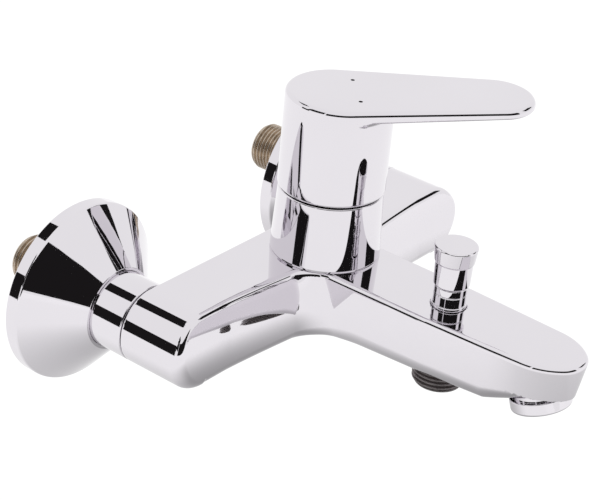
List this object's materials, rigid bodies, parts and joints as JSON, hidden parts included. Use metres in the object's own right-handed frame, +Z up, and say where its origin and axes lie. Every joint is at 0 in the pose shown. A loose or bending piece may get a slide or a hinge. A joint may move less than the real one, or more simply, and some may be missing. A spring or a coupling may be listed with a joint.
{
  "type": "wall mounted bath mixer tap",
  "caption": "Exposed single-lever bath mixer for two wall inlets, with a spout, a pull-up diverter and a shower outlet.",
  "frame": {"origin": "on the finished wall, midway between the two inlets, at inlet height", "axes": "+X to the right seen from the front, +Y into the wall, +Z up"},
  "size_m": [0.2232, 0.2138, 0.12],
  "materials": {
    "chrome": "mirror polished chrome plate on brass",
    "nickel_brass": "dull nickel over brass, turned thread",
    "dark_nickel": "dark nickel, turned thread",
    "bare_brass": "machined brass",
    "steel": "stainless steel",
    "black_rubber": "smooth rubber",
    "white_ceramic": "lapped ceramic",
    "grey_plastic": "moulded plastic",
    "white_plastic": "moulded plastic",
    "red_enamel": "glossy enamel",
    "blue_enamel": "glossy enamel"
  },
  "bodies": {
    "tap_body": {"body_casting": "chrome", "dome_cover": "chrome", "cover_seal": "black_rubber", "escutcheon_left": "chrome", "escutcheon_right": "chrome", "union_nut_left": "chrome", "union_nut_right": "chrome", "wall_union_left": "nickel_brass", "wall_union_right": "nickel_brass", "inlet_washer_left": "black_rubber", "inlet_washer_right": "black_rubber", "inlet_tail_left": "bare_brass", "inlet_tail_right": "bare_brass", "cartridge_base": "grey_plastic", "port_seals": "black_rubber", "fixed_ceramic_disc": "white_ceramic", "cartridge_housing": "grey_plastic", "cartridge_retaining_nut": "bare_brass", "diverter_bonnet": "chrome", "bonnet_seal": "black_rubber", "shower_outlet_nipple": "dark_nickel", "check_valve_body": "white_plastic", "aerator_housing": "chrome", "aerator_insert": "white_plastic", "aerator_washer": "black_rubber", "diverter_spring": "steel", "check_valve_spring": "steel"},
    "rotor": {"cartridge_rotor": "grey_plastic", "pivot_pin": "steel"},
    "disc_slide": {"moving_ceramic_disc": "white_ceramic", "disc_carrier": "grey_plastic"},
    "lever": {"lever_handle": "chrome", "lever_spindle": "bare_brass", "grub_screw": "steel", "screw_plug": "grey_plastic", "hot_mark": "red_enamel", "cold_mark": "blue_enamel"},
    "diverter": {"diverter_knob": "chrome", "diverter_stem": "bare_brass", "valve_plate": "bare_brass", "valve_washers": "black_rubber", "stem_nut": "bare_brass"},
    "poppet": {"check_valve_poppet": "white_plastic"}
  },
  "joints": [
    {"name": "lever_swing", "type": "hinge", "parent": "tap_body", "child": "rotor", "pos_m": [0, -0.064, 0.031], "axis": [0, 0, 1], "range_deg": [-96, 4]},
    {"name": "lever_lift", "type": "hinge", "parent": "rotor", "child": "lever", "pos_m": [0, -0.064, 0.031], "axis": [-0.6947, -0.7193, 0], "range_deg": [0, 20]},
    {"name": "disc_shift", "type": "slide", "parent": "rotor", "child": "disc_slide", "axis": [0.7193, -0.6947, 0], "range_m": [0, 0.0027]},
    {"name": "diverter_pull", "type": "slide", "parent": "tap_body", "child": "diverter", "axis": [0, 0, 1], "range_m": [0, 0.0078], "stiffness_N_per_m": 80, "springref_m": -0.006, "deforming": ["diverter_spring"]},
    {"name": "check_valve_open", "type": "slide", "parent": "tap_body", "child": "poppet", "axis": [0, 0, -1], "range_m": [0, 0.0016], "stiffness_N_per_m": 100, "springref_m": -0.002, "deforming": ["check_valve_spring"]}
  ],
  "couplings": [
    {"joint": "disc_shift", "follows": "lever_lift", "m_per_rad": 0.007447}
  ]
}
